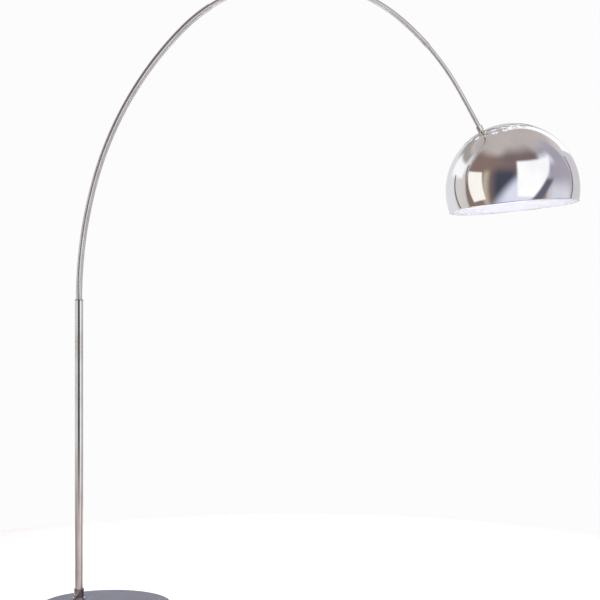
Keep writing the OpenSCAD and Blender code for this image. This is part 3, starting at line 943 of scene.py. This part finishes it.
@dataclass
class Shade:
    """The spun dome with its rolled rim, its two rings of vents and the hole for the swivel."""

    radius: float = 202 * MM
    sheet: float = 1.2 * MM
    mouth_drop: float = 52 * MM
    rim_r: float = 2 * MM
    fitting_angle: float = 23.0
    vents_lean: float = 8.7
    vent_r: float = 10 * MM
    nipple_hole_r: float = 5.1 * MM
    rings: tuple[VentRing, ...] = (VentRing(18, 25.3), VentRing(22, 32.0))
    segments: int = 288
    ball_steps: int = 120
    rim_steps: int = 28
    hole_segments: int = 48
    drill_reach: tuple[float, float] = (0.8, 1.1)
    sharp_angle: float = 30.0
    face_play: float = 0.1
    turned_from: Vector = field(default_factory=lambda: Vector(joint_named("shade_swivel")["axis"]))
    centre: Vector = field(default_factory=lambda: Vector(joint_named("shade_swivel")["pos_m"]))

    def placed(self) -> Matrix:
        """Returns the dome's own frame, with +Z along its axis and its ball's centre at 0."""
        arc_turn = math.atan2(self.turned_from.x, self.turned_from.z)
        tilt = math.pi - arc_turn - math.radians(self.fitting_angle)
        return Matrix.Translation(self.centre) @ Matrix.Rotation(-tilt, 4, "Y")

    def profile(self) -> list[tuple[float, float]]:
        """The section of the sheet: outside, rolled rim, and inside back up to the top.

        Returns:
            Pairs of height over the ball's centre and radius.
        """
        middle = self.radius - self.sheet / 2
        mouth_r = math.sqrt(middle**2 - self.mouth_drop**2)
        slope = math.degrees(math.atan2(-self.mouth_drop, mouth_r))
        half = math.degrees(math.asin(self.sheet / 2 / self.rim_r))
        rim = (-self.mouth_drop, mouth_r)
        reach = math.sqrt(self.rim_r**2 - (self.sheet / 2) ** 2) / middle
        stop = slope + math.degrees(reach)
        outside = arc_points((0, 0), self.radius, 90, stop, self.ball_steps)
        curl = arc_points(rim, self.rim_r, slope + 90 - half, slope - 270 + half, self.rim_steps)
        inside = arc_points((0, 0), self.radius - self.sheet, stop, 90, self.ball_steps)
        outside[0] = (self.radius, 0.0)
        inside[-1] = (self.radius - self.sheet, 0.0)
        return outside + curl[1:-1] + inside

    def drill(
        self, name: str, radius: float, lean: float, angle: float, turn: float
    ) -> bpy.types.Object:
        """Builds a round cutter that passes through the dome's wall.

        Args:
            name: the cutter's name.
            radius: its radius.
            lean: lean of the ring's middle from the dome's axis towards the arc, in degrees.
            angle: angle between the ring's middle and the hole, in degrees.
            turn: place of the hole around the ring, in degrees.

        Returns:
            The cutter.
        """
        aim = (
            self.placed()
            @ Matrix.Rotation(math.radians(-lean), 4, "Y")
            @ Matrix.Rotation(math.radians(turn), 4, "Z")
            @ Matrix.Rotation(math.radians(angle), 4, "Y")
        )
        low, high = (share * self.radius for share in self.drill_reach)
        outline = [(low, 0.0), (low, radius), (high, radius), (high, 0.0)]
        return revolve(
            name, outline, lambda s: aim @ Matrix.Translation((0, 0, s)), self.hole_segments
        )

    def finish_faces(self, mesh: bpy.types.Mesh) -> None:
        """Sorts the faces into outside, inside and cut edges, and rounds the first two's normals.

        Args:
            mesh: the dome's mesh after its holes are cut.
        """
        mesh.set_sharp_from_angle(angle=math.radians(self.sharp_angle))
        normals = [Vector(c.vector) for c in mesh.corner_normals]
        for face in mesh.polygons:
            reach = [(mesh.vertices[v].co - self.centre).length for v in face.vertices]
            if max(reach) - min(reach) > (1 - self.face_play) * self.sheet:
                face.material_index = Skin.CUT_EDGE.value
            for radius, sign, skin in (
                (self.radius, 1, Skin.OUTSIDE),
                (self.radius - self.sheet, -1, Skin.INSIDE),
            ):
                if all(abs(r - radius) < self.face_play * self.sheet for r in reach):
                    face.material_index = skin.value
                    for corner in face.loop_indices:
                        away = mesh.vertices[mesh.loops[corner].vertex_index].co - self.centre
                        normals[corner] = sign * away.normalized()
        mesh.normals_split_custom_set([tuple(n) for n in normals])

    def build(self) -> bpy.types.Object:
        """Builds the dome with all its holes.

        Returns:
            The dome.
        """
        placed = self.placed()
        dome = revolve(
            "dome_shade",
            self.profile(),
            lambda s: placed @ Matrix.Translation((0, 0, s)),
            self.segments,
        )
        cutters = [self.drill("nipple_hole", self.nipple_hole_r, self.fitting_angle, 0, 0)]
        for k, ring in enumerate(self.rings):
            for i in range(ring.count):
                turn = (i + 0.5) * 360 / ring.count
                name = f"vent_{k}_{i}"
                cutters.append(self.drill(name, self.vent_r, self.vents_lean, ring.angle, turn))
        cut(dome, cutters)
        dome.data.materials.clear()
        for finish in (SPUN_ALUMINIUM, WHITE_ENAMEL, DRILLED_ALUMINIUM):
            dome.data.materials.append(finish.material())
        self.finish_faces(dome.data)
        return dome

    def dress(self) -> None:
        """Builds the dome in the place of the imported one."""
        settle(self.build(), "shade", "spun_aluminium", "shade_dome")


# ---------------------------------------------------------------- studio


@dataclass(frozen=True)
class Panel:
    """A soft-edged panel of the studio around the lamp, given by directions in degrees.

    Attributes:
        turn: from and to, measured from the camera's side towards +X.
        rise: from and to, measured up from level.
        colour: its colour.
        strength: its brightness.
        soft: width of its soft edge.
        lean: how far its two upright edges turn for each degree of rise.
    """

    turn: tuple[float, float]
    rise: tuple[float, float]
    colour: str
    strength: float
    soft: float = 4.0
    lean: tuple[float, float] = (0.0, 0.0)


@dataclass(frozen=True)
class SoftBox:
    """A square soft box that lights the lamp without showing in its metal.

    Attributes:
        name: the light's name.
        at: where it hangs.
        aim: the point it faces.
        size: the side of its square.
        watts: its power.
    """

    name: str
    at: tuple[float, float, float]
    aim: tuple[float, float, float]
    size: float
    watts: float

    def hang(self) -> None:
        """Adds the light to the scene."""
        data = bpy.data.lights.new(self.name, "AREA")
        data.size = self.size
        data.energy = self.watts
        box = bpy.data.objects.new(self.name, data)
        box.location = self.at
        way = Vector(self.aim) - Vector(self.at)
        box.rotation_euler = way.to_track_quat("-Z", "Y").to_euler()
        box.visible_glossy = False
        box.visible_camera = False
        bpy.context.scene.collection.objects.link(box)


@dataclass
class Studio:
    """Floor, surroundings, light tent, soft boxes and camera."""

    boxes: tuple[SoftBox, ...] = (
        SoftBox("top_box", (0.6, 0.9, 4.5), (0.5, 0.5, 0.0), 4.5, 270.0),
        SoftBox("low_box", (1.1, -1.6, 0.15), (1.24, 0.0, 1.35), 1.0, 25.0),
    )
    floor_radius: float = 1.9
    floor_middle: tuple[float, float] = (0.55, 0.1)
    floor_top: float = -0.2 * MM
    floor_thickness: float = 4 * MM
    floor_segments: int = 128
    camera_at: tuple[float, float, float] = (0.595, -3.703, 0.905)
    lens_mm: float = 72.84
    rise_shift: float = 0.035
    backdrop: str = "#fcfcfc"
    surround: Panel = Panel((-180, 180), (-90, 90), "#e6e7ea", 1.0)
    panels: tuple[Panel, ...] = (
        Panel((113, 180), (-90, 44), "#d6d2d6", 1.0, 10.0),
        Panel((-180, -112), (27, 44), "#aaa4a0", 1.0, 8.0),
        Panel((-180, 180), (43, 90), "#c3bab7", 1.0, 14.0),
        Panel((-100, 54), (-90, 53), "#8b7770", 1.0, 16.0),
        Panel((-36, 50), (36, 64), "#7d6e6f", 1.0, 32.0),
        Panel((-128, -97), (-90, 20), "#d9d5d2", 1.0, 5.0),
        Panel((56, 113), (-90, 58), "#aea9b4", 1.0, 12.0),
        Panel((56, 108), (-90, 6), "#e2e2ec", 1.0, 24.0),
        Panel((-44, -2), (-90, 30), "#484b58", 1.0, 24.0),
        Panel((-62, -52), (-90, 26), "#c0b5a4", 1.0, 11.0),
        Panel((-16, 30), (-90, 20), "#e6e9fa", 1.0, 28.0, (0.95, 0.0)),
        Panel((48, 80), (34, 48), "#e4e7f5", 1.0, 12.0),
        Panel((-1, 41), (-17, 43), "#ffffff", 1.12, 6.0, (0.0, 0.75)),
        Panel((41, 55), (-90, 13), "#6a6877", 1.0, 8.0, (0.75, 0.75)),
        Panel((-88, -61), (-18, 24), "#fffaf3", 1.08, 3.0, (-0.32, -0.2)),
        Panel((-147, -108), (15, 31), "#ffffff", 1.05, 6.0),
        Panel((85.6, 130), (31, 60), "#ffffff", 1.15, 4.0, (1.4, 0.9)),
        Panel((177.7, 158), (4, 32), "#ffffff", 1.15, 4.0, (-1.57, 0.0)),
        Panel((-126.5, -122.5), (-30, 17), "#77706e", 1.0, 2.0, (-0.3, -0.3)),
        Panel((-95.5, -92.5), (0, 31), "#7b706e", 1.0, 2.0, (-0.28, -0.28)),
        Panel((109, 112.5), (-10, 30), "#77717a", 1.0, 2.0, (0.25, 0.25)),
    )
    tent_radius: float = 0.35
    tent_half_turn: float = 120.0
    tent_top: float = 1.0
    tent_steps: int = 48
    tent_blend: tuple[float, float] = (0.15, 0.55)
    tent_power: float = 1.5
    tent_reach: float = 0.6
    upper_stripes: tuple[tuple[float, str], ...] = (
        (-120, "#cdcdcd"),
        (-28, "#cfcfcf"),
        (-18, "#4a4a4b"),
        (31, "#4e4e4f"),
        (40, "#f6f5f4"),
        (69, "#f2f1f0"),
        (80, "#a9a7a7"),
        (120, "#b6b4b4"),
    )
    lower_stripes: tuple[tuple[float, str], ...] = (
        (-120, "#9c9293"),
        (-60, "#8d8183"),
        (-30, "#b5abac"),
        (16, "#c2b8ba"),
        (40, "#ddd4d4"),
        (74, "#bdb2b3"),
        (88, "#75686a"),
        (102, "#a2989a"),
    )

    def sky(self) -> None:
        """Builds what the metal reflects; behind the lamp it looks plain white."""
        world = bpy.data.worlds.new("studio")
        bpy.context.scene.world = world
        world.use_nodes = True
        tree = world.node_tree
        tree.nodes.clear()
        ray = add_node(tree, "ShaderNodeTexCoord").outputs["Generated"]
        turn, up = around(tree, ray)
        rise = add_node(tree, "ShaderNodeMath", {0: up}, operation="ARCSINE").outputs[0]
        seen = linear(self.surround.colour)
        for panel in self.panels:
            mask = None
            half = math.radians(panel.soft / 2)
            for angle, edge, lean, sign in (
                (turn, panel.turn[0], panel.lean[0], 1),
                (turn, panel.turn[1], panel.lean[1], -1),
                (rise, panel.rise[0], 0.0, 1),
                (rise, panel.rise[1], 0.0, -1),
            ):
                if abs(edge) in (90, 180):
                    continue
                if lean:
                    leaning = {0: rise, 1: -lean, 2: angle}
                    angle = add_node(
                        tree, "ShaderNodeMath", leaning, operation="MULTIPLY_ADD"
                    ).outputs[0]
                at, rim = math.radians(edge), sign * half
                side = add_node(
                    tree,
                    "ShaderNodeMapRange",
                    span(angle, at - rim, at + rim),
                    interpolation_type="SMOOTHSTEP",
                ).outputs["Result"]
                if mask is not None:
                    both = {0: mask, 1: side}
                    side = add_node(tree, "ShaderNodeMath", both, operation="MULTIPLY").outputs[0]
                mask = side
            bright = [panel.strength * c for c in linear(panel.colour)[:3]] + [1.0]
            seen = add_node(
                tree, "ShaderNodeMix", {0: mask, 6: seen, 7: bright}, data_type="RGBA"
            ).outputs[2]
        reflected = add_node(tree, "ShaderNodeBackground", {"Color": seen, "Strength": 1.0})
        plain = add_node(
            tree, "ShaderNodeBackground", {"Color": linear(self.backdrop), "Strength": 1.0}
        )
        path = add_node(tree, "ShaderNodeLightPath")
        both = add_node(
            tree,
            "ShaderNodeMixShader",
            {0: path.outputs["Is Camera Ray"], 1: reflected.outputs[0], 2: plain.outputs[0]},
        )
        add_node(tree, "ShaderNodeOutputWorld", {"Surface": both.outputs[0]})

    def floor(self) -> None:
        """Builds the plain pale floor."""
        middle = Vector((*self.floor_middle, self.floor_top))
        r, low = self.floor_radius, -self.floor_thickness
        piece = revolve(
            "floor",
            [(0.0, 0.0), (0.0, r), (low, r), (low, 0.0)],
            lambda s: Matrix.Translation(middle + Vector((0, 0, s))),
            self.floor_segments,
        )
        piece.data.materials.append(FLOOR_PAINT.material())

    def stripes(
        self,
        tree: bpy.types.NodeTree,
        turn: bpy.types.NodeSocket,
        colours: Sequence[tuple[float, str]],
    ) -> bpy.types.NodeSocket:
        """Adds soft upright stripes of light.

        Args:
            tree: the tent's node tree.
            turn: the direction from the pole, from 0 to 1 across the tent.
            colours: directions in degrees and the stripe's colour there.

        Returns:
            The stripes' colour.
        """
        bands = add_node(tree, "ShaderNodeValToRGB", {"Fac": turn})
        stops = bands.color_ramp.elements
        while len(stops) < len(colours):
            stops.new(1.0)
        for stop, (degrees, colour) in zip(stops, colours):
            stop.position = (degrees + self.tent_half_turn) / (2 * self.tent_half_turn)
            stop.color = linear(colour)
        return bands.outputs["Color"]

    def tent(self) -> None:
        """Hangs a striped light tent around the pole, reflected only within its reach."""
        pole = Vector(joint_named("arc_swivel")["pos_m"])
        sheet = bmesh.new()
        steps = self.tent_steps
        rows = []
        for height in (0.0, self.tent_top):
            row = []
            for k in range(steps + 1):
                turn = math.radians(self.tent_half_turn * (2 * k / steps - 1))
                way = Vector((math.sin(turn), -math.cos(turn), 0)) * self.tent_radius
                row.append(sheet.verts.new((pole.x + way.x, pole.y + way.y, height)))
            rows.append(row)
        for k in range(steps):
            sheet.faces.new((rows[0][k], rows[0][k + 1], rows[1][k + 1], rows[1][k]))
        data = bpy.data.meshes.new("light_tent")
        sheet.to_mesh(data)
        sheet.free()
        hung = bpy.data.objects.new("light_tent", data)
        bpy.context.scene.collection.objects.link(hung)
        glow = bpy.data.materials.new("tent_cloth_lit")
        glow.use_nodes = True
        tree = glow.node_tree
        tree.nodes.clear()
        at = add_node(
            tree,
            "ShaderNodeVectorMath",
            {0: add_node(tree, "ShaderNodeTexCoord").outputs["Object"], 1: (pole.x, pole.y, 0.0)},
            operation="SUBTRACT",
        )
        turn, up = around(tree, at.outputs[0])
        half = math.radians(self.tent_half_turn)
        across = add_node(tree, "ShaderNodeMapRange", span(turn, -half, half)).outputs["Result"]
        raised = add_node(
            tree,
            "ShaderNodeMapRange",
            span(up, *self.tent_blend),
            interpolation_type="SMOOTHSTEP",
        )
        seen = add_node(
            tree,
            "ShaderNodeMix",
            {
                0: raised.outputs["Result"],
                6: self.stripes(tree, across, self.lower_stripes),
                7: self.stripes(tree, across, self.upper_stripes),
            },
            data_type="RGBA",
        )
        lit = add_node(
            tree, "ShaderNodeEmission", {"Color": seen.outputs[2], "Strength": self.tent_power}
        )
        path = add_node(tree, "ShaderNodeLightPath")
        beyond = {0: path.outputs["Ray Length"], 1: self.tent_reach}
        far = add_node(tree, "ShaderNodeMath", beyond, operation="GREATER_THAN")
        clear = add_node(tree, "ShaderNodeBsdfTransparent")
        shown = add_node(
            tree, "ShaderNodeMixShader", {0: far.outputs[0], 1: lit.outputs[0], 2: clear.outputs[0]}
        )
        add_node(tree, "ShaderNodeOutputMaterial", {"Surface": shown.outputs[0]})
        data.materials.append(glow)
        for seen_by in ("camera", "diffuse", "shadow", "transmission", "volume_scatter"):
            setattr(hung, f"visible_{seen_by}", False)

    def camera(self) -> None:
        """Adds the level camera."""
        data = bpy.data.cameras.new("camera")
        data.lens = self.lens_mm
        data.shift_y = self.rise_shift
        data.clip_start = 0.05
        eye = bpy.data.objects.new("camera", data)
        eye.location = self.camera_at
        eye.rotation_euler = (math.pi / 2, 0, 0)
        bpy.context.scene.collection.objects.link(eye)
        bpy.context.scene.camera = eye

    def build(self) -> None:
        """Builds the whole studio."""
        self.camera()
        self.sky()
        self.floor()
        self.tent()
        for box in self.boxes:
            box.hang()
        bpy.context.scene.view_settings.view_transform = "Standard"
        log.info("built the studio")


def main() -> None:
    """Builds the studio and every sub-assembly of the lamp in order."""
    Studio().build()
    for assembly in (Foot(), Pole(), Arc(), LampEnd(), Shade()):
        assembly.dress()
        log.info("finished %s", type(assembly).__name__)


if __name__ == "__main__":
    logging.basicConfig(level=logging.INFO, format="%(name)s: %(message)s")
    main()
